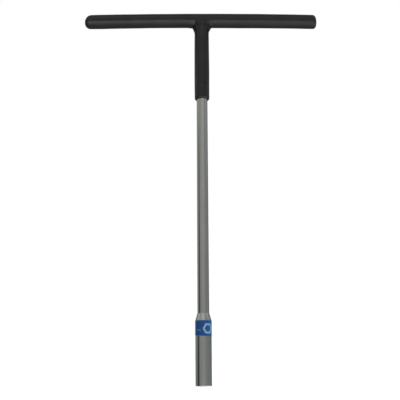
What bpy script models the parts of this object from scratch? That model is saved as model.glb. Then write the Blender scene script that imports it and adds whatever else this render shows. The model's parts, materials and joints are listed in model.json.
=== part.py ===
"""A T-handle socket wrench: a steel cross bar welded to the top of a round shank, both under one
dipped vinyl grip, and a long turned socket with a hexagon mouth on the shank's lower end. The
weld has drawn the bar's two arms down a little, and the grip follows them.

The tool stands upright on its socket. The origin is the centre of the socket's mouth, +Z runs up
the shank and +X runs along the cross bar. Lengths are in metres."""

import math

import bmesh
import bpy
from mathutils import Matrix

# Driving dimensions.
BAR_HEIGHT = 0.3706  # from the socket's mouth to the axis of the cross bar at its middle
BAR_DROOP = 0.0014  # how far the arms have been drawn down at DROOP_REACH from the middle
GRIP_LEFT_END = -0.1234
GRIP_RIGHT_END = 0.1214
GRIP_DIAMETER = 0.01466
SLEEVE_FOOT = 0.2794  # height of the sleeve's lower lip
BAR_DIAMETER = 0.0110  # the steel inside the grip
BAR_LENGTH = 0.2400
SHANK_DIAMETER = 0.0110
SOCKET_DIAMETER = 0.0150
SOCKET_SHOULDER = 0.0583  # height where the socket starts to narrow
SOCKET_TOP = 0.0648  # height where it has narrowed to the shank
HEX_ACROSS_FLATS = 0.0101  # a 10 mm socket, cut a tenth over its nut
HEX_DEPTH = 0.0140
GAP = 0.0003  # between pieces that touch

# The rest follows from them, or is a detail of one piece.
BAR_RADIUS = BAR_DIAMETER / 2
SHANK_RADIUS = SHANK_DIAMETER / 2
GRIP_RADIUS = GRIP_DIAMETER / 2
SOCKET_RADIUS = SOCKET_DIAMETER / 2

BAR_CHAMFER = 0.0008
DROOP_REACH = 0.1220
DROOP_POWER = 1.6  # between the kink of a 1 and the even curve of a 2
DROOP_STATIONS = 12  # rings along a bent body

SPIGOT_RADIUS = 0.0040
SPIGOT_LENGTH = 0.0120
SPIGOT_CHAMFER = 0.0005

BEAD_RADIUS = 0.0013
BEAD_CREST = 0.0028  # how far the bead stays below the bar's axis at the two sides

LEFT_END_RADIUS = 0.0058
RIGHT_END_RADIUS = 0.0034
SLEEVE_HEAD_RADIUS = 0.00755
SLEEVE_SWELL_RADIUS = 0.00772
SLEEVE_SWELL_HEIGHT = 0.3089
SLEEVE_FOOT_RADIUS = 0.00750
SLEEVE_LIP_HEIGHT = 0.0014
SLEEVE_LIP_FOOT_RADIUS = 0.0060
LEFT_WEB = (0.0062, 0.0073)  # width under the bar and height down the sleeve
RIGHT_WEB = (0.0032, 0.0062)
LEFT_WEB_BULGE = 0.10  # 0 is a hollow curve that meets both tubes smoothly, 0.5 is a straight cut
RIGHT_WEB_BULGE = 0.45
WEB_THICKNESS = 0.0070
WEB_OVERLAP = 0.0020  # how far a web reaches into the bar and the sleeve

CLEARANCE_BORE_RADIUS = 0.0045
CLEARANCE_BORE_DEPTH = 0.0460
RIM_CHAMFER = 0.0005
LEAD_IN_RADIUS = 0.0062

LABEL_TOP = 0.0582
LABEL_FOOT = 0.0437
LABEL_CLEARANCE = 0.00005
LABEL_THICKNESS = 0.00012

FACETS = 64
ARC_STEPS = 6
WEB_STEPS = 6
BEAD_POINTS = 64
MERGE = 0.00001
OVERSHOOT = 0.002  # how far a cutter runs past the face that it opens


def clear_scene():
    for old in list(bpy.data.objects):
        bpy.data.objects.remove(old, do_unlink=True)


def new_collection(name, hidden=False):
    collection = bpy.data.collections.new(name)
    collection.hide_render = hidden
    bpy.context.scene.collection.children.link(collection)
    return collection


def new_material(name, colour, roughness, metallic):
    material = bpy.data.materials.new(name)
    material.use_nodes = True
    shader = material.node_tree.nodes["Principled BSDF"]
    shader.inputs["Base Color"].default_value = (*colour, 1.0)
    shader.inputs["Roughness"].default_value = roughness
    shader.inputs["Metallic"].default_value = metallic
    material.diffuse_color = (*colour, 1.0)
    return material


def add_object(name, data, collection):
    obj = bpy.data.objects.new(name, data)
    collection.objects.link(obj)
    return obj


def finish_piece(obj, material):
    obj.data.materials.append(material)
    obj.data.shade_smooth()
    obj.data.set_sharp_from_angle(angle=math.radians(35))
    return obj


def arc(centre, radius, start, end, steps=ARC_STEPS):
    """Points of an arc in the plane of a profile; the angles are in degrees from +X."""
    return [
        (
            centre[0] + radius * math.cos(math.radians(start + (end - start) * step / steps)),
            centre[1] + radius * math.sin(math.radians(start + (end - start) * step / steps)),
        )
        for step in range(steps + 1)
    ]


def turned(name, profile, collection, ring=False):
    """A body turned about Z from (radius, height) points that run down its outer side.
    A ring's profile closes on itself; any other starts and ends on the axis."""
    mesh = bpy.data.meshes.new(name)
    edges = [(i, i + 1) for i in range(len(profile) - 1)]
    if ring:
        edges.append((len(profile) - 1, 0))
    mesh.from_pydata([(radius, 0.0, height) for radius, height in profile], edges, [])
    obj = add_object(name, mesh, collection)
    screw = obj.modifiers.new("turn", "SCREW")
    screw.steps = FACETS
    screw.render_steps = FACETS
    screw.use_merge_vertices = True
    screw.merge_threshold = MERGE
    return obj


def straight_rod(name, radius, bottom, top, collection):
    profile = [(0.0, top), (radius, top), (radius, bottom), (0.0, bottom)]
    return turned(name, profile, collection)


def along_bar(right, left, radius):
    """Points of a straight run between two stations of the bar, with rings close enough to bend."""
    return [
        (radius, right + (left - right) * step / DROOP_STATIONS)
        for step in range(DROOP_STATIONS + 1)
    ]


def lay_along_bar(obj):
    """Turns a body made about Z so that its +Z end becomes the right-hand end of the bar, and
    bends it down as the weld has bent the bar."""
    obj.rotation_euler = (0.0, math.pi / 2, 0.0)
    laid = as_mesh(obj)
    laid.data.transform(laid.matrix_world)
    laid.matrix_world = Matrix.Translation((0.0, 0.0, BAR_HEIGHT))
    for vertex in laid.data.vertices:
        vertex.co.z -= BAR_DROOP * (abs(vertex.co.x) / DROOP_REACH) ** DROOP_POWER
    return laid


def as_mesh(obj):
    """The object as a mesh with its modifiers applied and the loose caps of a curve welded."""
    bpy.context.view_layer.update()
    evaluated = obj.evaluated_get(bpy.context.evaluated_depsgraph_get())
    mesh = bpy.data.meshes.new_from_object(evaluated)
    welded = bmesh.new()
    welded.from_mesh(mesh)
    bmesh.ops.remove_doubles(welded, verts=welded.verts, dist=MERGE)
    bmesh.ops.recalc_face_normals(welded, faces=welded.faces)
    welded.to_mesh(mesh)
    welded.free()
    name, collection, place = obj.name, obj.users_collection[0], obj.matrix_world.copy()
    bpy.data.objects.remove(obj, do_unlink=True)
    made = add_object(name, mesh, collection)
    made.matrix_world = place
    return made


def combine(obj, other, operation):
    boolean = obj.modifiers.new(f"{operation.lower()} {other.name}", "BOOLEAN")
    boolean.operation = operation
    boolean.solver = "EXACT"
    boolean.object = other


def new_cutter(obj):
    obj.hide_render = True
    obj.display_type = "WIRE"
    return obj


def saddle_bead(name, radius, collection):
    """A round bead along the line where the shank's surface runs into the bar's."""
    curve = bpy.data.curves.new(name, "CURVE")
    curve.dimensions = "3D"
    curve.bevel_depth = radius
    curve.bevel_resolution = 2
    spline = curve.splines.new("POLY")
    spline.points.add(BEAD_POINTS - 1)
    spline.use_cyclic_u = True
    for i, point in enumerate(spline.points):
        turn = math.tau * i / BEAD_POINTS
        x, y = SHANK_RADIUS * math.cos(turn), SHANK_RADIUS * math.sin(turn)
        drop = math.hypot(x, BEAD_CREST)
        point.co = (x, y, BAR_HEIGHT - drop, 1.0)
    return as_mesh(add_object(name, curve, collection))


def rod_cutters(collection):
    half = BAR_LENGTH / 2 + GAP
    profile = [(0.0, half), *along_bar(half, -half, BAR_RADIUS + GAP), (0.0, -half)]
    bar = turned("bar_space", profile, collection)
    shank = straight_rod("shank_space", SHANK_RADIUS + GAP, SLEEVE_FOOT - OVERSHOOT, BAR_HEIGHT, collection)
    bead = saddle_bead("bead_space", BEAD_RADIUS + GAP, collection)
    return new_cutter(lay_along_bar(bar)), new_cutter(shank), new_cutter(bead)


def make_cross_bar(parts):
    half = BAR_LENGTH / 2
    profile = [
        (0.0, half),
        (BAR_RADIUS - BAR_CHAMFER, half),
        *along_bar(half - BAR_CHAMFER, BAR_CHAMFER - half, BAR_RADIUS),
        (BAR_RADIUS - BAR_CHAMFER, -half),
        (0.0, -half),
    ]
    bar = lay_along_bar(turned("cross_bar", profile, parts))
    return finish_piece(bar, new_material("bar steel", (0.30, 0.30, 0.29), 0.45, 1.0))


def make_shank(parts, bar_space):
    """The shank is coped at the top to sit under the bar, and its foot is turned to a spigot."""
    step = SOCKET_TOP + GAP
    foot = SOCKET_TOP - SPIGOT_LENGTH
    profile = [
        (0.0, BAR_HEIGHT - OVERSHOOT),
        (SHANK_RADIUS, BAR_HEIGHT - OVERSHOOT),
        (SHANK_RADIUS, step),
        (SPIGOT_RADIUS, step),
        (SPIGOT_RADIUS, foot + SPIGOT_CHAMFER),
        (SPIGOT_RADIUS - SPIGOT_CHAMFER, foot),
        (0.0, foot),
    ]
    shank = turned("shank", profile, parts)
    combine(shank, bar_space, "DIFFERENCE")
    return finish_piece(shank, new_material("satin chrome", (0.42, 0.42, 0.41), 0.32, 1.0))


def make_t_weld(parts, bar_space, shank_space):
    weld = saddle_bead("t_weld", BEAD_RADIUS, parts)
    combine(weld, bar_space, "DIFFERENCE")
    combine(weld, shank_space, "DIFFERENCE")
    return finish_piece(weld, new_material("weld metal", (0.22, 0.21, 0.20), 0.55, 1.0))


def grip_bar_profile():
    right_centre = (GRIP_RADIUS - RIGHT_END_RADIUS, GRIP_RIGHT_END - RIGHT_END_RADIUS)
    left_centre = (GRIP_RADIUS - LEFT_END_RADIUS, GRIP_LEFT_END + LEFT_END_RADIUS)
    right = arc(right_centre, RIGHT_END_RADIUS, 90, 0)
    left = arc(left_centre, LEFT_END_RADIUS, 0, -90)
    middle = along_bar(right_centre[1], left_centre[1], GRIP_RADIUS)
    return [(0.0, GRIP_RIGHT_END), *right[:-1], *middle, *left[1:], (0.0, GRIP_LEFT_END)]


def sleeve_profile():
    """The sleeve swells a little below its middle and thins out in a bevelled lip at its foot."""
    head_drop = 2 * GRIP_DIAMETER
    return [
        (0.0, BAR_HEIGHT),
        (GRIP_RADIUS - GAP, BAR_HEIGHT),
        (SLEEVE_HEAD_RADIUS, BAR_HEIGHT - head_drop),
        (SLEEVE_SWELL_RADIUS, SLEEVE_SWELL_HEIGHT),
        (SLEEVE_FOOT_RADIUS, SLEEVE_FOOT + SLEEVE_LIP_HEIGHT),
        (SLEEVE_LIP_FOOT_RADIUS, SLEEVE_FOOT),
        (0.0, SLEEVE_FOOT),
    ]


def web_bow(width, height, bulge):
    """Points from under the bar down to the sleeve, as a curve whose one control point lies between
    the corner and the middle of the straight cut."""
    points = []
    for step in range(WEB_STEPS + 1):
        t = step / WEB_STEPS
        near, mid, far = (1 - t) ** 2, 2 * t * (1 - t), t**2
        points.append((near * width + mid * bulge * width, far * height + mid * bulge * height))
    return points


def corner_web(name, size, bulge, side, collection):
    """The web of vinyl in the corner under the bar, on the left (-1) or the right (+1)."""
    width, height = size
    inner = GRIP_RADIUS - WEB_OVERLAP
    outline = [(inner, inner), (GRIP_RADIUS + width, inner)]
    outline += [(GRIP_RADIUS + across, GRIP_RADIUS + down) for across, down in web_bow(width, height, bulge)]
    outline.append((inner, GRIP_RADIUS + height))
    curve = bpy.data.curves.new(name, "CURVE")
    curve.dimensions = "2D"
    curve.fill_mode = "BOTH"
    curve.extrude = WEB_THICKNESS / 2
    spline = curve.splines.new("POLY")
    spline.points.add(len(outline) - 1)
    spline.use_cyclic_u = True
    for point, (across, down) in zip(spline.points, outline):
        point.co = (side * across, BAR_HEIGHT - down, 0.0, 1.0)
    web = add_object(name, curve, collection)
    web.rotation_euler = (math.pi / 2, 0.0, 0.0)
    return new_cutter(as_mesh(web))


def make_grip(parts, cutters, spaces):
    """One dipped skin over the bar, the weld and the upper shank, open only at the sleeve's foot."""
    grip = lay_along_bar(turned("grip", grip_bar_profile(), parts))
    sleeve = new_cutter(turned("sleeve_body", sleeve_profile(), cutters))
    combine(grip, sleeve, "UNION")
    combine(grip, corner_web("left_web", LEFT_WEB, LEFT_WEB_BULGE, -1, cutters), "UNION")
    combine(grip, corner_web("right_web", RIGHT_WEB, RIGHT_WEB_BULGE, 1, cutters), "UNION")
    for space in spaces:
        combine(grip, space, "DIFFERENCE")
    return finish_piece(grip, new_material("black vinyl", (0.022, 0.023, 0.023), 0.50, 0.0))


def hexagon_cutter(collection):
    """A six-sided prism with two of its flats facing along Y."""
    mesh = bpy.data.meshes.new("hexagon_bore")
    shape = bmesh.new()
    corner_radius = HEX_ACROSS_FLATS / 2 / math.cos(math.pi / 6)
    depth = HEX_DEPTH + OVERSHOOT
    bmesh.ops.create_cone(
        shape, cap_ends=True, segments=6, radius1=corner_radius, radius2=corner_radius, depth=depth
    )
    bmesh.ops.rotate(shape, verts=shape.verts, matrix=Matrix.Rotation(math.pi / 6, 3, "Z"))
    bmesh.ops.translate(shape, verts=shape.verts, vec=(0.0, 0.0, depth / 2 - OVERSHOOT))
    shape.to_mesh(mesh)
    shape.free()
    return new_cutter(add_object("hexagon_bore", mesh, collection))


def make_socket(parts, cutters):
    outer = [
        (0.0, SOCKET_TOP),
        (SHANK_RADIUS, SOCKET_TOP),
        (SOCKET_RADIUS, SOCKET_SHOULDER),
        (SOCKET_RADIUS, RIM_CHAMFER),
        (SOCKET_RADIUS - RIM_CHAMFER, 0.0),
        (0.0, 0.0),
    ]
    lead_in = [(0.0, LEAD_IN_RADIUS), (LEAD_IN_RADIUS + OVERSHOOT, -OVERSHOOT), (0.0, -OVERSHOOT)]
    socket = turned("socket", outer, parts)
    spigot_foot = SOCKET_TOP - SPIGOT_LENGTH - GAP
    bores = (
        straight_rod("clearance_bore", CLEARANCE_BORE_RADIUS, -OVERSHOOT, CLEARANCE_BORE_DEPTH, cutters),
        straight_rod("spigot_bore", SPIGOT_RADIUS + GAP, spigot_foot, SOCKET_TOP + OVERSHOOT, cutters),
        turned("lead_in", lead_in, cutters),
        hexagon_cutter(cutters),
    )
    for bore in bores:
        combine(socket, new_cutter(bore), "DIFFERENCE")
    return finish_piece(socket, new_material("socket chrome", (0.38, 0.38, 0.37), 0.36, 1.0))


def make_label(parts):
    inner = SOCKET_RADIUS + LABEL_CLEARANCE
    outer = inner + LABEL_THICKNESS
    profile = [(outer, LABEL_TOP), (outer, LABEL_FOOT), (inner, LABEL_FOOT), (inner, LABEL_TOP)]
    label = turned("label", profile, parts, ring=True)
    return finish_piece(label, new_material("blue film", (0.025, 0.085, 0.22), 0.40, 0.0))


def main():
    clear_scene()
    parts = new_collection("t_handle_socket_wrench")
    cutters = new_collection("cutters", hidden=True)
    spaces = rod_cutters(cutters)
    bar_space, shank_space, _ = spaces
    make_cross_bar(parts)
    make_shank(parts, bar_space)
    make_t_weld(parts, bar_space, shank_space)
    make_grip(parts, cutters, spaces)
    make_socket(parts, cutters)
    make_label(parts)


main()
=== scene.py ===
"""Looks for the T-handle socket wrench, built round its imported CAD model. Lengths are in metres,
in the CAD frame: the origin is the centre of the socket's mouth, +Z runs up the shank, +X runs
along the cross bar and the camera looks from -Y."""

import json
import math

import bmesh
import bpy
import numpy as np
from mathutils import Euler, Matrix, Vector


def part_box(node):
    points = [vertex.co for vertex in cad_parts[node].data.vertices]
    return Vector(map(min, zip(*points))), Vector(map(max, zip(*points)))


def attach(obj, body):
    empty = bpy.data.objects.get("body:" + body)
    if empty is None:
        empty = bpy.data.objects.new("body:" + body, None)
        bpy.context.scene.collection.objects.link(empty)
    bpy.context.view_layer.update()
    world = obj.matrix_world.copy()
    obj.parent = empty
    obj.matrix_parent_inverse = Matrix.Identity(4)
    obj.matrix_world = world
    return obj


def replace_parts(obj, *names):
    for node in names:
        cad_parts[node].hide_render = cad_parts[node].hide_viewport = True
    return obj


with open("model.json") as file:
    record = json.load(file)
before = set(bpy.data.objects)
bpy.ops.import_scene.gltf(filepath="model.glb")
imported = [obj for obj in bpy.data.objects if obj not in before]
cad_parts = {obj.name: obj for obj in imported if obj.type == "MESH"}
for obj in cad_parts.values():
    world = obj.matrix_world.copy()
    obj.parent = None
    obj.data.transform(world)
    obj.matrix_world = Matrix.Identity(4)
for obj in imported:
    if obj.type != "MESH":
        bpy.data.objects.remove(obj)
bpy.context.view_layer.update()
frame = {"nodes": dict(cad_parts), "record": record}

MM = 0.001

# The rigid pieces' measures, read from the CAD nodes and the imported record.
BAR_LOW, BAR_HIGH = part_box("cross_bar")
GRIP_LOW, GRIP_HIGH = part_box("grip")
SHANK_LOW, SHANK_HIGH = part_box("shank")
SOCKET_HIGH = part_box("socket")[1]
LABEL_LOW, LABEL_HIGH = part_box("label")
MOUNTS = {mount["name"]: mount for mount in frame["record"]["mounts"]}

BAR_HALF = BAR_HIGH.x
ROD_RADIUS = BAR_HIGH.y
BAR_AXIS = BAR_HIGH.z - ROD_RADIUS  # at the middle; the arms droop from there
BAR_DROOP = BAR_HIGH.z - BAR_LOW.z - 2 * ROD_RADIUS  # at the bar's ends
DROOP_POWER = 1.6
SKIN_RADIUS = GRIP_HIGH.z - BAR_AXIS
SLEEVE_FOOT = GRIP_LOW.z
SHANK_RADIUS = SHANK_HIGH.y
SPIGOT_FOOT = SHANK_LOW.z
SOCKET_RADIUS = SOCKET_HIGH.y
SOCKET_TOP = SOCKET_HIGH.z
HEX_HALF_FLATS = MOUNTS["hexagon_flat"]["pos_m"][1]


# ---------------------------------------------------------------- meshes

CUTTER_SEGMENTS = 96
SLIVER = 0.001 * MM  # edges shorter than this are removed after a cut


def add_piece(name, mesh):
    """A piece of the object: it rides on the one body."""
    piece = bpy.data.objects.new(name, mesh)
    bpy.context.scene.collection.objects.link(piece)
    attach(piece, "root")
    return piece


def mesh_from(name, points, faces):
    mesh = bpy.data.meshes.new(name)
    mesh.from_pydata([tuple(map(float, point)) for point in points], [], faces)
    mesh.validate()
    return mesh


def helper(name, mesh):
    """An object for the modifiers to work on or with; it is removed before the script ends."""
    obj = bpy.data.objects.new(name, mesh)
    bpy.context.scene.collection.objects.link(obj)
    return obj


def evaluated_mesh(obj):
    """The object's mesh with its modifiers applied; the object itself is removed."""
    bpy.context.view_layer.update()
    mesh = bpy.data.meshes.new_from_object(obj.evaluated_get(bpy.context.evaluated_depsgraph_get()))
    bpy.data.objects.remove(obj, do_unlink=True)
    return mesh


def turned(name, profile, segments, wobble=None):
    """A closed body turned about Z from (radius, height) points that run down its outer side, and
    that start and end on the axis. wobble moves the points of each ring: it takes their angles,
    radii and heights, and gives new radii and heights."""
    angles = np.arange(segments) * math.tau / segments
    points = [(0.0, 0.0, profile[0][1])]
    for radius, height in profile[1:-1]:
        radii, heights = np.full(segments, radius), np.full(segments, height)
        if wobble:
            radii, heights = wobble(angles, radii, heights)
        points += zip(radii * np.cos(angles), radii * np.sin(angles), heights)
    points.append((0.0, 0.0, profile[-1][1]))
    rings = len(profile) - 2
    last = len(points) - 1

    def at(ring, side):
        return 1 + ring * segments + side % segments

    faces = [(0, at(0, side), at(0, side + 1)) for side in range(segments)]
    for ring in range(rings - 1):
        for side in range(segments):
            below, beside = ring + 1, side + 1
            faces.append((at(ring, side), at(below, side), at(below, beside), at(ring, beside)))
    faces += [(last, at(rings - 1, side + 1), at(rings - 1, side)) for side in range(segments)]
    return mesh_from(name, points, faces)


def rounded(corner, before, after, radius, steps=5):
    """Points of a profile that round its corner between the neighbours before and after."""
    corner = Vector(corner)
    back = (Vector(before) - corner).normalized()
    on = (Vector(after) - corner).normalized()
    half = back.angle(on) / 2
    reach = radius / math.tan(half)
    centre = corner + (back + on).normalized() * (radius / math.sin(half))
    start, end = corner + back * reach - centre, corner + on * reach - centre
    found = []
    for step in range(steps + 1):
        t = step / steps
        found.append(tuple(centre + (start * (1 - t) + end * t).normalized() * radius))
    return found


def soft_profile(corners, radii):
    """A profile whose inner corners are rounded by these radii; 0 leaves a corner sharp."""
    profile = [corners[0]]
    for index, radius in enumerate(radii, start=1):
        if radius:
            profile += rounded(corners[index], corners[index - 1], corners[index + 1], radius)
        else:
            profile.append(corners[index])
    return profile + [corners[-1]]


def cylinder(name, radius, low, high, segments=CUTTER_SEGMENTS):
    """A closed cylinder about Z between two heights."""
    return helper(name, turned(name, [(0.0, high), (radius, high), (radius, low), (0.0, low)], segments))


def bar_axis_at(x):
    """Height of the cross bar's axis: the weld has drawn its two arms down a little."""
    return BAR_AXIS - BAR_DROOP * np.abs(x / BAR_HALF) ** DROOP_POWER


def bar_body(name, radius, left, right, segments=CUTTER_SEGMENTS, chamfer=0.0):
    """A round body along the drooping cross bar, with square or chamfered ends."""
    rings = 24
    length = right - left - 2 * chamfer
    profile = [(radius, right - chamfer - length * ring / rings) for ring in range(rings + 1)]
    if chamfer:
        profile = [(radius - chamfer, right), *profile, (radius - chamfer, left)]
    mesh = turned(name, [(0.0, right), *profile, (0.0, left)], segments)
    points = np.array([v.co for v in mesh.vertices])
    laid = np.column_stack([points[:, 2], points[:, 1], bar_axis_at(points[:, 2]) - points[:, 0]])
    mesh.vertices.foreach_set("co", laid.astype(np.float32).ravel())
    mesh.update()
    return helper(name, mesh)


def cut(mesh, cutters):
    """The mesh with each cutter taken away. The cutters are removed."""
    obj = helper("being_cut", mesh)
    for cutter in cutters:
        boolean = obj.modifiers.new(cutter.name, "BOOLEAN")
        boolean.operation = "DIFFERENCE"
        boolean.solver = "MANIFOLD"
        boolean.object = cutter
    made = evaluated_mesh(obj)
    for cutter in cutters:
        bpy.data.objects.remove(cutter, do_unlink=True)
    return without_slivers(made)


def without_slivers(mesh):
    """Removes what a cut can leave: flat slivers, and pairs of faces that lie back to back."""
    cleaned = bmesh.new()
    cleaned.from_mesh(mesh)
    bmesh.ops.triangulate(cleaned, faces=cleaned.faces)
    bmesh.ops.remove_doubles(cleaned, verts=cleaned.verts, dist=SLIVER)
    bmesh.ops.dissolve_degenerate(cleaned, edges=cleaned.edges, dist=SLIVER)
    bmesh.ops.triangulate(cleaned, faces=cleaned.faces)
    owners = {}
    for face in cleaned.faces:
        owners.setdefault(frozenset(corner.index for corner in face.verts), []).append(face)
    doubled = [face for faces in owners.values() if len(faces) > 1 for face in faces]
    bmesh.ops.delete(cleaned, geom=doubled, context="FACES")
    cleaned.to_mesh(mesh)
    cleaned.free()
    return mesh


def faced_outwards(mesh):
    """The closed mesh with all its faces turned to the outside."""
    whole = bmesh.new()
    whole.from_mesh(mesh)
    bmesh.ops.recalc_face_normals(whole, faces=whole.faces)
    whole.to_mesh(mesh)
    whole.free()
    return mesh


def finish_mesh(mesh, sharp_angle=40.0):
    """The mesh shaded smooth, with its edges above that angle in degrees kept sharp."""
    mesh.materials.clear()
    mesh.shade_smooth()
    mesh.set_sharp_from_angle(angle=math.radians(sharp_angle))
    return mesh


# ---------------------------------------------------------------- the grip's skin

SKIN_VOXEL = 0.55 * MM
# Radii of the ends' edges, below and above the axis, and how far the end faces bulge.
END_ROUNDING = {"left": (5.4 * MM, 6.2 * MM), "right": (3.0 * MM, 3.45 * MM)}
END_DOME = {"left": 0.3 * MM, "right": 0.0}
END_LEAN = 0.075  # the ends reach out a little further below the axis than above it
LEAN_PIVOT = 2.5 * MM
RIGHT_END_GAP = 0.28 * MM
LIP_FOOT_RADIUS = 5.65 * MM  # where the skin's bevelled lip has thinned out on the shank
LIP_RISE = (0.59, 0.81)  # the bevel faces outwards by the first and down by the second
LIP_ROUNDING = 0.8 * MM
JUNCTION_BLEND = (1.2 * MM, 6.0 * MM)  # in the tool's mid-plane and at its front and back
FRONT_LIMIT = 7.5 * MM  # the vinyl in the T's corners is no thicker than this from the mid-plane
FRONT_ROUNDING = 0.5 * MM
SLEEVE_REACH = 0.5 * MM  # how far the sleeve's shape shows above the bar's axis
BRACE_BLEND = 0.7 * MM
BORE_CLEARANCE = 0.05 * MM
BORE_OVERSHOOT = 2 * MM  # how far a cutter runs past the face that it opens
ROD_CHAMFER = 0.8 * MM  # on both ends of the cross bar
BEAD_SPACE_RADIUS = 1.4 * MM
BEAD_CREST = 2.8 * MM  # how far the weld stays below the bar's axis at the two sides
DIP_UNEVENNESS = 0.05 * MM
BAR_WAVES = (9 * MM, 17 * MM, 23 * MM)  # lengths of the unevenness along the bar, per radian
SLEEVE_WAVES = (11 * MM, 19 * MM)  # and down the sleeve
# How much thicker the dipped skin is along the bar, and the sleeve's radius down its length.
SKIN_STATIONS = np.array([-0.124, -0.110, -0.063, -0.037, 0.014, 0.052, 0.090, 0.123])
SKIN_SWELL = np.array([-0.25, 0.0, -0.10, -0.10, 0.02, 0.02, -0.07, -0.10]) * MM
SLEEVE_HEIGHTS = np.array([0.279, 0.282, 0.295, 0.309, 0.323, 0.336, 0.350, 0.366, 0.372])
SLEEVE_RADII = np.array([7.48, 7.50, 7.58, 7.70, 7.63, 7.60, 7.55, 7.35, 7.20]) * MM


def smooth_table(at, stations, values):
    """Values read from a table along a smooth line instead of a kinked one."""
    blur = 6 * MM
    shifts = (-1.0, -0.5, 0.0, 0.5, 1.0)
    return sum(np.interp(at + shift * blur, stations, values) for shift in shifts) / len(shifts)


def rounded_box_distance(across, along, rounding):
    """Distance to a quarter plane with a rounded corner, from how far a point is past each side."""
    across, along = across + rounding, along + rounding
    outside = np.hypot(np.maximum(across, 0.0), np.maximum(along, 0.0))
    return outside + np.minimum(np.maximum(across, along), 0.0) - rounding


def capsule_distance(points, start, end, radius):
    """Signed distance to a straight rod with round ends."""
    line = np.subtract(end, start)
    share = np.clip((points - start) @ line / (line @ line), 0.0, 1.0)
    return np.linalg.norm(points - start - share[:, None] * line, axis=1) - radius


def smooth_union(a, b, blend):
    """Signed distance to two bodies together, with a fillet where they meet."""
    near = np.maximum(blend - np.abs(a - b), 0.0) / blend
    return np.minimum(a, b) - near**2 * blend / 4


# Each brace is a rounded web of vinyl in a corner of the T, as (start, end, radius).
BRACES = (
    ((6.9 * MM, 0.0, BAR_AXIS - 2.1 * MM), (1.8 * MM, 0.0, BAR_AXIS - 12.3 * MM), 5.6 * MM),
    ((-6.1 * MM, 0.0, BAR_AXIS - 2.1 * MM), (-1.8 * MM, 0.0, BAR_AXIS - 13.5 * MM), 5.6 * MM),
    ((-12.6 * MM, 0.0, BAR_AXIS - 2.1 * MM), (-6.6 * MM, 0.0, BAR_AXIS - 3.1 * MM), 5.6 * MM),
)


def skin_distance(points):
    """Signed distance to the outside of the dipped skin."""
    x, y, z = points.T
    rise = z - bar_axis_at(x)
    turn = np.arctan2(rise, y)
    short, middle, long = (x / wave for wave in BAR_WAVES)
    uneven = np.sin(short + 2 * turn) * np.cos(3 * turn - middle) + np.sin(long - turn)
    radius = SKIN_RADIUS + smooth_table(x, SKIN_STATIONS, SKIN_SWELL) + DIP_UNEVENNESS * uneven
    from_axis = np.hypot(y, rise)
    share_up = np.clip(0.5 + rise / SKIN_RADIUS, 0.0, 1.0)
    bar = -np.inf
    for side, past in (("left", GRIP_LOW.x - x), ("right", x - GRIP_HIGH.x + RIGHT_END_GAP)):
        low, high = END_ROUNDING[side]
        past = past + END_DOME[side] * (from_axis / SKIN_RADIUS) ** 2 + END_LEAN * (rise + LEAN_PIVOT)
        rounding = low + (high - low) * share_up
        bar = np.maximum(bar, rounded_box_distance(from_axis - radius, past, rounding))
    around = np.arctan2(y, x)
    short, long = (z / wave for wave in SLEEVE_WAVES)
    ripple = DIP_UNEVENNESS * np.sin(short + 2 * around) * np.cos(around - long)
    out = np.hypot(x, y)
    side = out - smooth_table(z, SLEEVE_HEIGHTS, SLEEVE_RADII) - ripple
    lip = LIP_RISE[0] * (out - LIP_FOOT_RADIUS) - LIP_RISE[1] * (z - SLEEVE_FOOT)
    sleeve = np.maximum(-smooth_union(-side, -lip, LIP_ROUNDING), SLEEVE_FOOT - z)
    sleeve = np.maximum(sleeve, z - BAR_AXIS - SLEEVE_REACH)
    middle_blend, face_blend = JUNCTION_BLEND
    face_share = np.clip(np.abs(y) / SKIN_RADIUS, 0.0, 1.0) ** 2
    skin = smooth_union(bar, sleeve, middle_blend + (face_blend - middle_blend) * face_share)
    skin = -smooth_union(-skin, FRONT_LIMIT - np.abs(y), FRONT_ROUNDING)
    for start, end, brace_radius in BRACES:
        skin = smooth_union(skin, capsule_distance(points, start, end, brace_radius), BRACE_BLEND)
    return skin


def skin_slope(points):
    """The gradient of the distance to the skin, by small steps both ways."""
    step = 0.01 * MM
    found = np.empty_like(points)
    for axis in range(3):
        shift = np.zeros(3)
        shift[axis] = step
        found[:, axis] = (skin_distance(points + shift) - skin_distance(points - shift)) / (2 * step)
    return found


def settle(points, rounds=4):
    """Moves the points onto the skin's surface."""
    least_steepness = 0.25  # keeps a point in a crease from jumping
    for _ in range(rounds):
        slope = skin_slope(points)
        steepness = np.maximum((slope**2).sum(axis=1), least_steepness)
        points = points - (skin_distance(points) / steepness)[:, None] * slope
    return points


def even_out(points, edges, rounds=6, pace=0.6):
    """Spreads the points evenly over the surface: each moves towards the mean of its neighbours."""
    count = np.bincount(edges.ravel(), minlength=len(points))[:, None]
    for _ in range(rounds):
        total = np.zeros_like(points)
        for axis in range(3):
            total[:, axis] = np.bincount(edges[:, 0], points[edges[:, 1], axis], len(points))
            total[:, axis] += np.bincount(edges[:, 1], points[edges[:, 0], axis], len(points))
        move = total / count - points
        slope = skin_slope(points)
        slope /= np.linalg.norm(slope, axis=1)[:, None]
        move -= (move * slope).sum(axis=1)[:, None] * slope
        points = settle(points + pace * move)
    return points


def rough_t():
    """A plain T of two closed tubes, a little fatter than the skin, for the remesh to start from."""
    segments = 48
    bar = bar_body("rough_bar", SKIN_RADIUS, GRIP_LOW.x, GRIP_HIGH.x, segments)
    sleeve = cylinder("rough_sleeve", SKIN_RADIUS, SLEEVE_FOOT, BAR_AXIS, segments)
    joined = bmesh.new()
    for part in (bar, sleeve):
        joined.from_mesh(part.data)
        bpy.data.objects.remove(part, do_unlink=True)
    mesh = bpy.data.meshes.new("rough_t")
    joined.to_mesh(mesh)
    joined.free()
    return helper("rough_t", mesh)


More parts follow.
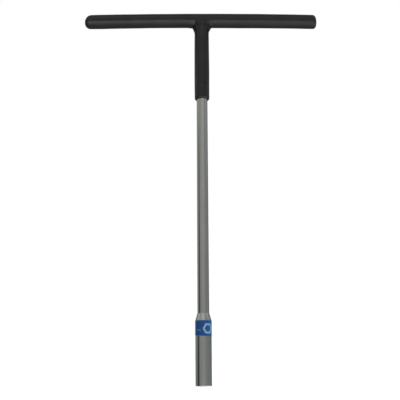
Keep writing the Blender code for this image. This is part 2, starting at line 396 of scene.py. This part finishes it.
def saddle_bead(radius):
    """The space of the weld between the two rods, as a closed tube along the line where they meet."""
    around, across = 72, 12
    turns = np.arange(around) * math.tau / around
    path = np.column_stack([
        ROD_RADIUS * np.cos(turns),
        ROD_RADIUS * np.sin(turns),
        BAR_AXIS - np.hypot(ROD_RADIUS * np.cos(turns), BEAD_CREST),
    ])
    tangent = np.roll(path, -1, axis=0) - np.roll(path, 1, axis=0)
    tangent /= np.linalg.norm(tangent, axis=1)[:, None]
    outward = np.column_stack([np.cos(turns), np.sin(turns), np.zeros(around)])
    outward -= (outward * tangent).sum(axis=1)[:, None] * tangent
    outward /= np.linalg.norm(outward, axis=1)[:, None]
    side = np.cross(tangent, outward)
    points = []
    for i in range(around):
        for j in range(across):
            turn = math.tau * j / across
            points.append(path[i] + radius * (math.cos(turn) * outward[i] + math.sin(turn) * side[i]))
    faces = []
    for i in range(around):
        for j in range(across):
            faces.append((
                i * across + j,
                (i + 1) % around * across + j,
                (i + 1) % around * across + (j + 1) % across,
                i * across + (j + 1) % across,
            ))
    return helper("bead_space", faced_outwards(mesh_from("bead_space", points, faces)))


def make_grip():
    """The dipped skin: remeshed, moved onto its true surface, and hollowed for rods and weld."""
    rough = rough_t()
    remesh = rough.modifiers.new("remesh", "REMESH")
    remesh.mode = "VOXEL"
    remesh.voxel_size = SKIN_VOXEL
    mesh = evaluated_mesh(rough)
    points = np.empty(len(mesh.vertices) * 3, np.float32)
    mesh.vertices.foreach_get("co", points)
    edges = np.empty(len(mesh.edges) * 2, np.int32)
    mesh.edges.foreach_get("vertices", edges)
    points = even_out(settle(points.reshape(-1, 3).astype(float)), edges.reshape(-1, 2))
    mesh.vertices.foreach_set("co", points.astype(np.float32).ravel())
    mesh.update()
    bore, end = ROD_RADIUS + BORE_CLEARANCE, BAR_HALF + BORE_CLEARANCE
    spaces = [
        bar_body("bar_space", bore, -end, end, chamfer=ROD_CHAMFER),
        cylinder("shank_space", bore, SLEEVE_FOOT - BORE_OVERSHOOT, BAR_AXIS),
        saddle_bead(BEAD_SPACE_RADIUS),
    ]
    grip = add_piece("grip_skin", finish_mesh(cut(mesh, spaces)))
    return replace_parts(grip, "grip")


# ---------------------------------------------------------------- shank, socket and label

TURNED_SEGMENTS = 160
SPIGOT_RADIUS = 4 * MM
SPIGOT_CLEARANCE, SPIGOT_END_GAP = 0.05 * MM, 0.1 * MM
HEX_DEPTH = 14 * MM
STUD_BORE_RADIUS, STUD_BORE_DEPTH = 4.5 * MM, 46 * MM
LEAD_IN_RADIUS = 6.2 * MM
SHOULDER_HEIGHT = 58.3 * MM
MOUTH_BEVEL = 0.5 * MM
WORN_HEIGHT = 0.9 * MM  # above the mouth, where the wear has faded out
WORN_FROM, WORN_FADE = 6.4 * MM, 0.6 * MM  # the radius where wear starts, and how soon it is full
MOUTH_RIPPLE = 0.02 * MM
CONE_LEDGE = 0.05 * MM  # how far the cone's top stands out from the shank
# Dents in the mouth's edge: angle from +X in degrees, width in radians, depth.
NICKS = (
    (-124.0, 0.10, 0.08 * MM),
    (-104.0, 0.06, 0.05 * MM),
    (-88.0, 0.12, 0.10 * MM),
    (-66.0, 0.07, 0.08 * MM),
    (-47.0, 0.09, 0.09 * MM),
    (-20.0, 0.08, 0.06 * MM),
    (35.0, 0.10, 0.15 * MM),
    (80.0, 0.07, 0.12 * MM),
    (128.0, 0.12, 0.18 * MM),
    (170.0, 0.08, 0.12 * MM),
)
NICK_SLOPE = 0.7  # how far a dent goes inwards for each unit that it goes up


def make_shank():
    """The rod with its coped top under the bar and its spigot inside the socket."""
    head = BAR_AXIS - 2 * MM  # inside the space that the cope cuts away
    step = SOCKET_TOP + 0.02 * MM  # just clear of the socket
    corners = [
        (0.0, head),
        (SHANK_RADIUS, head),
        (SHANK_RADIUS, step),
        (SPIGOT_RADIUS, step),
        (SPIGOT_RADIUS, SPIGOT_FOOT),
        (0.0, SPIGOT_FOOT),
    ]
    profile = soft_profile(corners, (0, 0.12 * MM, 0.1 * MM, 0.5 * MM))
    mesh = turned("shank_rod", profile, TURNED_SEGMENTS)
    cope = bar_body("cope", ROD_RADIUS + BORE_CLEARANCE, -4 * SHANK_RADIUS, 4 * SHANK_RADIUS)
    shank = add_piece("shank_rod", finish_mesh(cut(mesh, [cope])))
    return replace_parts(shank, "shank")


def hexagon_prism(low, high):
    """The space of the hexagon, with two of its flats facing the front and the back."""
    corner = HEX_HALF_FLATS / math.cos(math.pi / 6)
    mesh = turned("hexagon", [(0.0, high), (corner, high), (corner, low), (0.0, low)], 6)
    return helper("hexagon", mesh)


def make_socket():
    """The turned socket: bevelled and worn mouth, hexagon with its lead-in, stud bore, cone."""
    corners = [
        (0.0, SOCKET_TOP),
        (SHANK_RADIUS + CONE_LEDGE, SOCKET_TOP),
        (SOCKET_RADIUS, SHOULDER_HEIGHT),
        (SOCKET_RADIUS, MOUTH_BEVEL),
        (SOCKET_RADIUS - MOUTH_BEVEL, 0.0),
        (0.0, 0.0),
    ]
    profile = soft_profile(corners, (0.15 * MM, 0.7 * MM, 0.25 * MM, 0.15 * MM))

    def worn(angles, radii, heights):
        """Dents and rubbed places round the mouth's edge."""
        low = np.clip(1 - heights / WORN_HEIGHT, 0.0, 1.0)
        share = low * np.clip((radii - WORN_FROM) / WORN_FADE, 0.0, 1.0)
        dents = 0.0
        for place, width, depth in NICKS:
            aside = (angles - math.radians(place) + math.pi) % math.tau - math.pi
            dents = dents + depth * np.exp(-((aside / width) ** 2))
        ripple = MOUTH_RIPPLE * np.sin(9 * angles + 1.3) * np.sin(5 * angles)
        return radii - share * (NICK_SLOPE * dents + ripple), heights + share * dents

    mesh = turned("socket_body", profile, 2 * TURNED_SEGMENTS, worn)
    lead_in = [
        (0.0, LEAD_IN_RADIUS),
        (0.05 * MM, LEAD_IN_RADIUS),
        (LEAD_IN_RADIUS + BORE_OVERSHOOT, -BORE_OVERSHOOT),
        (0.0, -BORE_OVERSHOOT),
    ]
    spigot_bore = SPIGOT_RADIUS + SPIGOT_CLEARANCE
    spaces = [
        cylinder("stud_space", STUD_BORE_RADIUS, -BORE_OVERSHOOT, STUD_BORE_DEPTH),
        cylinder("spigot_space", spigot_bore, SPIGOT_FOOT - SPIGOT_END_GAP, SOCKET_TOP + BORE_OVERSHOOT),
        hexagon_prism(-BORE_OVERSHOOT, HEX_DEPTH),
        helper("lead_in", turned("lead_in", lead_in, CUTTER_SEGMENTS)),
    ]
    socket = add_piece("socket_body", finish_mesh(cut(mesh, spaces), 30.0))
    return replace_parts(socket, "socket")


CAD_FILM = 0.12 * MM  # the thickness of the label in the CAD model
TOP_MARGIN, FOOT_MARGIN = 0.10 * MM, 0.40 * MM  # how much lower and higher the film's edges are
FILM_THICKNESS = 0.10 * MM
FILM_AIR = 0.02 * MM  # between the film and what it lies on
FILM_OVERLAP = math.radians(24.0)
FILM_SEAM = math.radians(150.0)  # where the strip starts, from the front towards the right
SEAM_RISE = 0.12  # radians over which the outer end climbs onto the inner one
TOP_SLANT, FOOT_SLANT = 0.10 * MM, 0.48 * MM  # rise of the one and fall of the other at the right
FOOT_LIFT = 0.08 * MM
FILM_RIPPLE, FILM_CURL = 0.012 * MM, 0.03 * MM


def make_label():
    """A strip of film wrapped round the socket by hand: its edges run a little aslant and its
    outer end lies over its inner end at the back."""
    around, along = 240, 14
    top, foot = LABEL_HIGH.z - TOP_MARGIN, LABEL_LOW.z + FOOT_MARGIN
    whole_turn = math.tau + FILM_OVERLAP
    inner = LABEL_HIGH.y - CAD_FILM
    points = []
    for layer in (0, 1):
        for i in range(around + 1):
            turn = whole_turn * i / around
            angle = FILM_SEAM - turn
            over = np.clip((turn - (math.tau - SEAM_RISE)) / SEAM_RISE, 0.0, 1.0)  # past the seam
            lift = (FILM_THICKNESS + FILM_AIR) * over * over * (3 - 2 * over)
            slant = math.sin(angle) if abs(angle) < math.pi / 2 else math.copysign(1.0, angle)
            high, low = top + TOP_SLANT * slant, foot + FOOT_LIFT - FOOT_SLANT * slant
            for j in range(along + 1):
                share = j / along
                height = low + (high - low) * share
                ripple = FILM_RIPPLE * math.sin(5 * angle + 4 * share) * math.sin(9 * share + 2 * angle)
                curl = FILM_CURL * (abs(2 * share - 1)) ** 12  # at the two edges
                radius = inner + layer * FILM_THICKNESS + lift + FILM_AIR + ripple + curl
                points.append((radius * math.sin(angle), -radius * math.cos(angle), height))
    row = along + 1
    sheet = (around + 1) * row
    faces = []
    for i in range(around):
        for j in range(along):
            a, b = i * row + j, (i + 1) * row + j
            faces.append((a, b, b + 1, a + 1))
            faces.append((sheet + a, sheet + a + 1, sheet + b + 1, sheet + b))
        for j in (0, along):
            a, b = i * row + j, (i + 1) * row + j
            edge = (a, sheet + a, sheet + b, b)
            faces.append(edge if j == 0 else edge[::-1])
    for i in (0, around):
        for j in range(along):
            a = i * row + j
            edge = (a, a + 1, sheet + a + 1, sheet + a)
            faces.append(edge if i == 0 else edge[::-1])
    mesh = faced_outwards(mesh_from("label_film", points, faces))
    label = add_piece("label_film", finish_mesh(mesh))
    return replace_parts(label, "label")


# ---------------------------------------------------------------- materials

class Nodes:
    """Short calls for a node tree: they add a node and fill its sockets."""

    tree = None

    def node(self, kind, inputs=(), **settings):
        made = self.tree.nodes.new("ShaderNode" + kind)
        for name, value in settings.items():
            setattr(made, name, value)
        for socket, value in dict(inputs).items():
            self.feed(made.inputs[socket], value)
        return made

    def feed(self, socket, value):
        if isinstance(value, bpy.types.NodeSocket):
            self.tree.links.new(value, socket)
        else:
            socket.default_value = value


class Surface(Nodes):
    """A material's nodes, with short calls for the kinds that repeat."""

    def __init__(self, name, **values):
        self.material = bpy.data.materials.new(name)
        self.material.use_nodes = True
        self.tree = self.material.node_tree
        self.shader = self.tree.nodes["Principled BSDF"]
        for socket, value in values.items():
            self.shader.inputs[socket.replace("_", " ")].default_value = value
        self.place = self.node("TexCoord").outputs["Object"]

    def drive(self, socket, value):
        self.feed(self.shader.inputs[socket], value)

    def math(self, operation, first, second=0.0):
        return self.node("Math", {0: first, 1: second}, operation=operation).outputs[0]

    def noise(self, scale, detail=2.0, stretch=(1.0, 1.0, 1.0), offset=(0.0, 0.0, 0.0)):
        """Noise whose features are about 1/scale metres long, or shorter along a stretched axis."""
        inputs = {0: self.place, 1: stretch, 2: offset}
        scaled = self.node("VectorMath", inputs, operation="MULTIPLY_ADD")
        texture = self.node("TexNoise", {"Vector": scaled.outputs[0], "Scale": scale, "Detail": detail})
        return texture.outputs[0]

    def remap(self, value, low, high, to_low=0.0, to_high=1.0):
        inputs = {0: value, 1: low, 2: high, 3: to_low, 4: to_high}
        return self.node("MapRange", inputs, interpolation_type="SMOOTHSTEP").outputs[0]

    def mix(self, share, first, second):
        """The colour first, turning to second as share goes from 0 to 1."""
        inputs = {0: share, 6: self.colour(first), 7: self.colour(second)}
        return self.node("Mix", inputs, data_type="RGBA").outputs[2]

    @staticmethod
    def colour(value):
        return value if isinstance(value, bpy.types.NodeSocket) else (*value, 1.0)

    def bump(self, height, distance, below=None):
        inputs = {"Height": height, "Distance": distance, "Strength": 1.0}
        if below is not None:
            inputs["Normal"] = below
        return self.node("Bump", inputs).outputs[0]

    def parts(self):
        return self.node("SeparateXYZ", {0: self.place}).outputs


def vinyl_material():
    """Dip-moulded PVC: slightly uneven black, orange peel, rubbed patches and a little dust."""
    s = Surface("black_dipped_vinyl", IOR=1.5)
    mottle = s.noise(90.0, 4.0)
    black = s.mix(s.remap(mottle, 0.35, 0.65), (0.0125, 0.0138, 0.0130), (0.0185, 0.0190, 0.0178))
    patches = s.remap(s.noise(55.0, 2.0, offset=(3.0, 1.0, 7.0)), 0.48, 0.66)
    specks = s.remap(s.noise(900.0, 3.0, stretch=(0.45, 1.0, 1.0)), 0.60, 0.72)
    dust = s.math("MULTIPLY", patches, specks)
    s.drive("Base Color", s.mix(s.math("MULTIPLY", dust, 0.75), black, (0.075, 0.072, 0.068)))
    rubbed = s.noise(130.0, 3.0, stretch=(0.35, 1.0, 1.0), offset=(0.0, 5.0, 2.0))
    s.drive("Roughness", s.remap(rubbed, 0.3, 0.7, 0.29, 0.40))
    peel = s.bump(s.noise(420.0, 2.0), 0.030 * MM)
    grain = s.bump(s.noise(3200.0, 2.0), 0.006 * MM, below=peel)
    s.drive("Normal", grain)
    return s.material


def chrome_surface(name, tint, shade, seed, groove):
    """Satin chrome over drawn and ground steel: streaks along the tool, fine lines round it,
    clouded patches and a little grime. Gives the surface and its colour."""
    s = Surface(name, Metallic=1.0)
    streaks = s.noise(620.0, 3.0, stretch=(1.0, 1.0, 0.030), offset=(seed, 0.0, 0.0))
    clouds = s.noise(60.0, 3.0, stretch=(1.0, 1.0, 0.35), offset=(0.0, seed, 0.0))
    clean = s.mix(s.remap(streaks, 0.35, 0.65), shade, tint)
    grime = s.math("MULTIPLY", s.remap(clouds, 0.50, 0.72), s.remap(streaks, 0.40, 0.62))
    colour = s.mix(s.math("MULTIPLY", grime, 0.22), clean, (0.34, 0.315, 0.26))
    uneven = s.math("ADD", clouds, s.math("MULTIPLY", streaks, 0.5))
    s.drive("Roughness", s.remap(uneven, 0.5, 1.0, 0.14, 0.21))
    lines = s.noise(1.0, 1.0, stretch=(40.0, 40.0, 5200.0))
    drawn = s.noise(700.0, 2.0, stretch=(1.0, 1.0, 0.02))
    s.drive("Normal", s.bump(drawn, groove, below=s.bump(lines, 0.0015 * MM)))
    return s, colour


def shank_material():
    tint, shade = (0.59, 0.60, 0.58), (0.53, 0.54, 0.525)
    s, colour = chrome_surface("shank_satin_chrome", tint, shade, 0.0, 0.006 * MM)
    s.drive("Base Color", colour)
    return s.material


RIM_WEAR = (0.5 * MM, 1.3 * MM)  # heights between which the rim's wear fades out
WELD_RIPPLES = 46.0


def socket_material():
    """The same plate, rubbed bright in places and dark in others round the mouth's edge."""
    tint, shade = (0.55, 0.57, 0.555), (0.475, 0.495, 0.48)
    s, colour = chrome_surface("socket_satin_chrome", tint, shade, 4.0, 0.0045 * MM)
    rim = s.remap(s.parts()[2], *RIM_WEAR, 1.0, 0.0)
    spots = s.noise(430.0, 2.0, stretch=(1.0, 1.0, 0.3), offset=(1.7, 0.0, 0.0))
    rubbed = s.math("MULTIPLY", rim, s.remap(spots, 0.50, 0.58))
    dirty = s.math("MULTIPLY", rim, s.remap(spots, 0.42, 0.50, 1.0, 0.0))
    colour = s.mix(s.math("MULTIPLY", dirty, 0.7), colour, (0.26, 0.25, 0.22))
    s.drive("Base Color", s.mix(rubbed, colour, (0.86, 0.85, 0.80)))
    return s.material


def hidden_steel_material():
    """Cold-drawn rod as it comes from the mill, under the grip."""
    s = Surface("mill_finish_steel", Metallic=1.0)
    drawn = s.noise(600.0, 3.0, stretch=(0.03, 1.0, 1.0))
    s.drive("Base Color", s.mix(s.remap(drawn, 0.35, 0.65), (0.27, 0.265, 0.255), (0.36, 0.355, 0.345)))
    s.drive("Roughness", s.remap(s.noise(150.0, 2.0), 0.3, 0.7, 0.38, 0.52))
    s.drive("Normal", s.bump(drawn, 0.01 * MM))
    return s.material


def weld_material():
    """An oxidised bead with the ripples that each pass leaves."""
    s = Surface("weld_bead_metal", Metallic=0.9)
    oxide = s.noise(700.0, 4.0)
    s.drive("Base Color", s.mix(s.remap(oxide, 0.4, 0.6), (0.13, 0.11, 0.10), (0.27, 0.25, 0.23)))
    s.drive("Roughness", s.remap(oxide, 0.3, 0.7, 0.45, 0.65))
    x, y, _ = s.parts()
    turn = s.math("ARCTAN2", y, x)
    ripples = s.math("SINE", s.math("MULTIPLY", turn, WELD_RIPPLES))
    s.drive("Normal", s.bump(ripples, 0.08 * MM, below=s.bump(oxide, 0.03 * MM)))
    return s.material


MARK_ANGLE = math.radians(33.0)  # to the right of the front
MARK_HEIGHT = 50.8 * MM
MARK_HALF_FLATS = 4.5 * MM
MARK_STROKE = 1.6 * MM
DASH_ANGLES = (-41.0, -27.0)
DASH_DROP = 1.4 * MM
DASH_HALF_WIDTH, DASH_HALF_HEIGHT = 0.75 * MM, 0.55 * MM
DASH_STRENGTH, WHITE_STRENGTH = 0.4, 0.90
INK_EDGE = 0.08 * MM  # over which the white runs out into the blue
# Painted light: the blue is painted lighter on the right, where more light falls on the film: where that
# starts and is full, and where it ends at the back.
PAINTED_LIGHT_RISE = (math.radians(-10.0), math.radians(70.0))
PAINTED_LIGHT_FALL = (math.radians(105.0), math.radians(165.0))


def label_material():
    """Printed film: blue ink with a plain hexagon-nut outline and two short dashes in white."""
    s = Surface("printed_blue_film", IOR=1.5)
    x, y, z = s.parts()
    turn = s.math("ARCTAN2", x, s.math("MULTIPLY", y, -1.0))

    def arc_from(angle):
        return s.math("MULTIPLY", s.math("SUBTRACT", turn, angle), LABEL_HIGH.y)

    across = arc_from(MARK_ANGLE)
    up = s.math("SUBTRACT", z, MARK_HEIGHT)
    flats = s.math("ABSOLUTE", up)
    for tilt in (-30.0, 30.0):
        lean_across = s.math("MULTIPLY", across, math.cos(math.radians(tilt)))
        lean_up = s.math("MULTIPLY", up, math.sin(math.radians(tilt)))
        flats = s.math("MAXIMUM", flats, s.math("ABSOLUTE", s.math("ADD", lean_across, lean_up)))
    off_line = s.math("ABSOLUTE", s.math("SUBTRACT", flats, MARK_HALF_FLATS - MARK_STROKE / 2))
    white = s.remap(off_line, MARK_STROKE / 2 - INK_EDGE, MARK_STROKE / 2 + INK_EDGE, 1.0, 0.0)
    for angle in DASH_ANGLES:
        aside = s.math("DIVIDE", s.math("ABSOLUTE", arc_from(math.radians(angle))), DASH_HALF_WIDTH)
        off = s.math("DIVIDE", s.math("ABSOLUTE", s.math("ADD", up, DASH_DROP)), DASH_HALF_HEIGHT)
        dash = s.remap(s.math("MAXIMUM", aside, off), 0.8, 1.2, DASH_STRENGTH, 0.0)
        white = s.math("MAXIMUM", white, dash)
    wear = s.remap(s.noise(650.0, 4.0), 0.60, 0.74)
    ink_cloud = s.remap(s.noise(160.0, 3.0), 0.3, 0.7)
    blue = s.mix(ink_cloud, (0.004, 0.080, 0.31), (0.006, 0.100, 0.36))
    # Painted light: the blue turns lighter on the right side, standing in for the light that falls
    # there.
    painted_light = s.math("MULTIPLY", s.remap(turn, *PAINTED_LIGHT_RISE), s.remap(turn, *PAINTED_LIGHT_FALL, 1.0, 0.0))
    blue = s.mix(painted_light, blue, (0.020, 0.185, 0.52))
    printed = s.mix(s.math("MULTIPLY", white, WHITE_STRENGTH), blue, (0.46, 0.66, 0.83))
    s.drive("Base Color", s.mix(s.math("MULTIPLY", wear, 0.35), printed, (0.30, 0.38, 0.50)))
    s.drive("Roughness", s.remap(s.noise(240.0, 2.0), 0.3, 0.7, 0.30, 0.42))
    s.drive("Normal", s.bump(s.noise(500.0, 2.0), 0.012 * MM))
    return s.material


def paint(obj, material):
    """Gives the whole object that one material."""
    obj.data.materials.clear()
    obj.data.materials.append(material)


# ---------------------------------------------------------------- stage, light and camera

class Sky(Nodes):
    """The world's nodes: white where the camera looks past the object, and a studio of soft
    lights and a dark card for everything else."""

    def __init__(self):
        world = bpy.data.worlds.new("studio")
        bpy.context.scene.world = world
        world.use_nodes = True
        self.tree = world.node_tree
        self.tree.nodes.clear()
        self.direction = self.node("TexCoord").outputs["Generated"]
        self.sum = None

    def lobe(self, azimuth, elevation, half_width, flat=False):
        """A soft round light centred on that direction, in degrees; azimuth 0 is the camera's side
        and grows to the right. A flat one is an upright strip that ignores height."""
        a, e = math.radians(azimuth), math.radians(elevation)
        axis = (math.sin(a) * math.cos(e), -math.cos(a) * math.cos(e), math.sin(e))
        source = self.direction
        if flat:
            level = self.node("VectorMath", {0: source, 1: (1.0, 1.0, 0.0)}, operation="MULTIPLY")
            source = self.node("VectorMath", {0: level.outputs[0]}, operation="NORMALIZE").outputs[0]
        dot = self.node("VectorMath", {0: source, 1: axis}, operation="DOT_PRODUCT").outputs["Value"]
        power = math.log(0.5) / math.log(math.cos(math.radians(half_width)))
        above = self.node("Math", {0: dot, 1: 0.0}, operation="MAXIMUM").outputs[0]
        return self.node("Math", {0: above, 1: power}, operation="POWER").outputs[0]

    def add(self, share, colour):
        scaled = self.node("VectorMath", {0: colour, "Scale": share}, operation="SCALE").outputs[0]
        self.sum = scaled if self.sum is None else self.node(
            "VectorMath", {0: self.sum, 1: scaled}, operation="ADD"
        ).outputs[0]

    def below(self, elevation, fade):
        """1 under that elevation in degrees, fading to 0 over so many degrees above it."""
        height = self.node("SeparateXYZ", {0: self.direction}).outputs["Z"]
        low, high = (math.sin(math.radians(e)) for e in (elevation, elevation + fade))
        return self.node("MapRange", {0: height, 1: low, 2: high, 3: 1.0, 4: 0.0}).outputs[0]

    def both(self, share, other):
        return self.node("Math", {0: share, 1: other}, operation="MULTIPLY").outputs[0]

    def dim(self, share, by):
        """Darkens what is there so far by that much where share is 1."""
        keep = self.node("Math", {0: share, 1: -by, 2: 1.0}, operation="MULTIPLY_ADD").outputs[0]
        self.sum = self.node("VectorMath", {0: self.sum, "Scale": keep}, operation="SCALE").outputs[0]

    def finish(self):
        studio = self.node("Background", {"Color": self.sum})
        white = self.node("Background", {"Color": (1.0, 1.0, 1.0, 1.0), "Strength": 1.0})
        to_camera = self.node("LightPath").outputs["Is Camera Ray"]
        mixed = self.node("MixShader", {0: to_camera, 1: studio.outputs[0], 2: white.outputs[0]})
        self.node("OutputWorld", {0: mixed.outputs[0]})


def make_sky():
    sky = Sky()
    # The room's even light.
    one = sky.node("Value")
    one.outputs[0].default_value = 1.0
    sky.add(one.outputs[0], (0.170, 0.173, 0.168))
    # Its paler sides, in front and on the right.
    sky.add(sky.lobe(0, 0, 50), (0.19, 0.19, 0.187))
    sky.add(sky.lobe(90, 0, 30), (0.10, 0.11, 0.11))
    # Soft lights in front and to both sides, from a little above the tool's level upwards.
    sky.add(sky.lobe(15, 33, 18), (0.24, 0.24, 0.24))
    sky.add(sky.lobe(-18, 51, 14), (0.44, 0.49, 0.44))
    sky.add(sky.lobe(-92, 36, 25), (0.42, 0.42, 0.38))
    sky.add(sky.lobe(92, 48, 18), (0.60, 0.63, 0.66))
    sky.add(sky.lobe(-42, 12, 20), (0.07, 0.07, 0.068))
    # A soft box low in front, and two cooler lights low on the right.
    sky.add(sky.both(sky.lobe(-20, -25, 24), sky.below(-18, 3)), (1.88, 1.81, 1.77))
    sky.add(sky.lobe(56, -62, 22), (0.62, 0.72, 1.02))
    sky.add(sky.both(sky.lobe(78, -38, 20), sky.below(-18, 8)), (1.15, 1.22, 1.45))
    # Weak light from under the tool, and from behind on the left.
    sky.add(sky.lobe(180, -76, 38), (0.20, 0.20, 0.20))
    sky.add(sky.lobe(-128, 0, 20), (0.11, 0.11, 0.085))
    # A tall dark card on the left.
    sky.dim(sky.both(sky.lobe(-79, 0, 11, flat=True), sky.below(17, 7)), 0.92)
    sky.finish()


FLOOR_RADIUS = 4.0
FLOOR_GAP = 0.2 * MM


def make_floor():
    """A pale table, lit evenly from within so that only a faint shadow lies on it. It shows from
    above only, and isn't there for reflections and bounced light."""
    bpy.ops.mesh.primitive_circle_add(
        vertices=96, radius=FLOOR_RADIUS, fill_type="NGON", location=(0.0, 0.0, -FLOOR_GAP)
    )
    floor = bpy.context.object
    floor.name = "floor"
    floor.visible_glossy = False
    floor.visible_diffuse = False
    s = Surface("pale_table", Roughness=0.9, Emission_Strength=0.80)
    s.drive("Alpha", s.math("SUBTRACT", 1.0, s.node("NewGeometry").outputs["Backfacing"]))
    fleck = s.remap(s.noise(40.0, 3.0), 0.3, 0.7)
    s.drive("Base Color", s.mix(fleck, (0.86, 0.86, 0.86), (0.90, 0.90, 0.90)))
    s.shader.inputs["Emission Color"].default_value = (1.0, 1.0, 1.0, 1.0)
    s.shader.inputs["Specular IOR Level"].default_value = 0.0
    floor.data.materials.append(s.material)


LENS, SENSOR = 54.0, 36.0  # in millimetres
ELEVATION = 14.8  # the camera looks up by this many degrees
YAW, ROLL = 0.436, -0.282  # in degrees
DISTANCE = 0.58665
AIM = Vector((-0.0026, 0.0, 0.1740))


def make_camera():
    data = bpy.data.cameras.new("camera")
    camera = bpy.data.objects.new("camera", data)
    bpy.context.scene.collection.objects.link(camera)
    data.lens = LENS
    data.sensor_width = SENSOR
    data.clip_start = 0.01
    data.clip_end = 20.0
    turn = Euler((math.radians(90.0 + ELEVATION), 0.0, math.radians(-YAW))).to_matrix()
    back = turn @ Vector((0.0, 0.0, 1.0))
    camera.location = AIM + back * DISTANCE
    roll = Euler((0.0, 0.0, math.radians(ROLL))).to_matrix()
    camera.rotation_euler = (turn @ roll).to_euler()
    bpy.context.scene.camera = camera


paint(make_grip(), vinyl_material())
paint(make_shank(), shank_material())
paint(make_socket(), socket_material())
paint(make_label(), label_material())
paint(frame["nodes"]["cross_bar"], hidden_steel_material())
paint(frame["nodes"]["t_weld"], weld_material())
make_floor()
make_sky()
make_camera()
bpy.context.scene.view_settings.view_transform = "Standard"
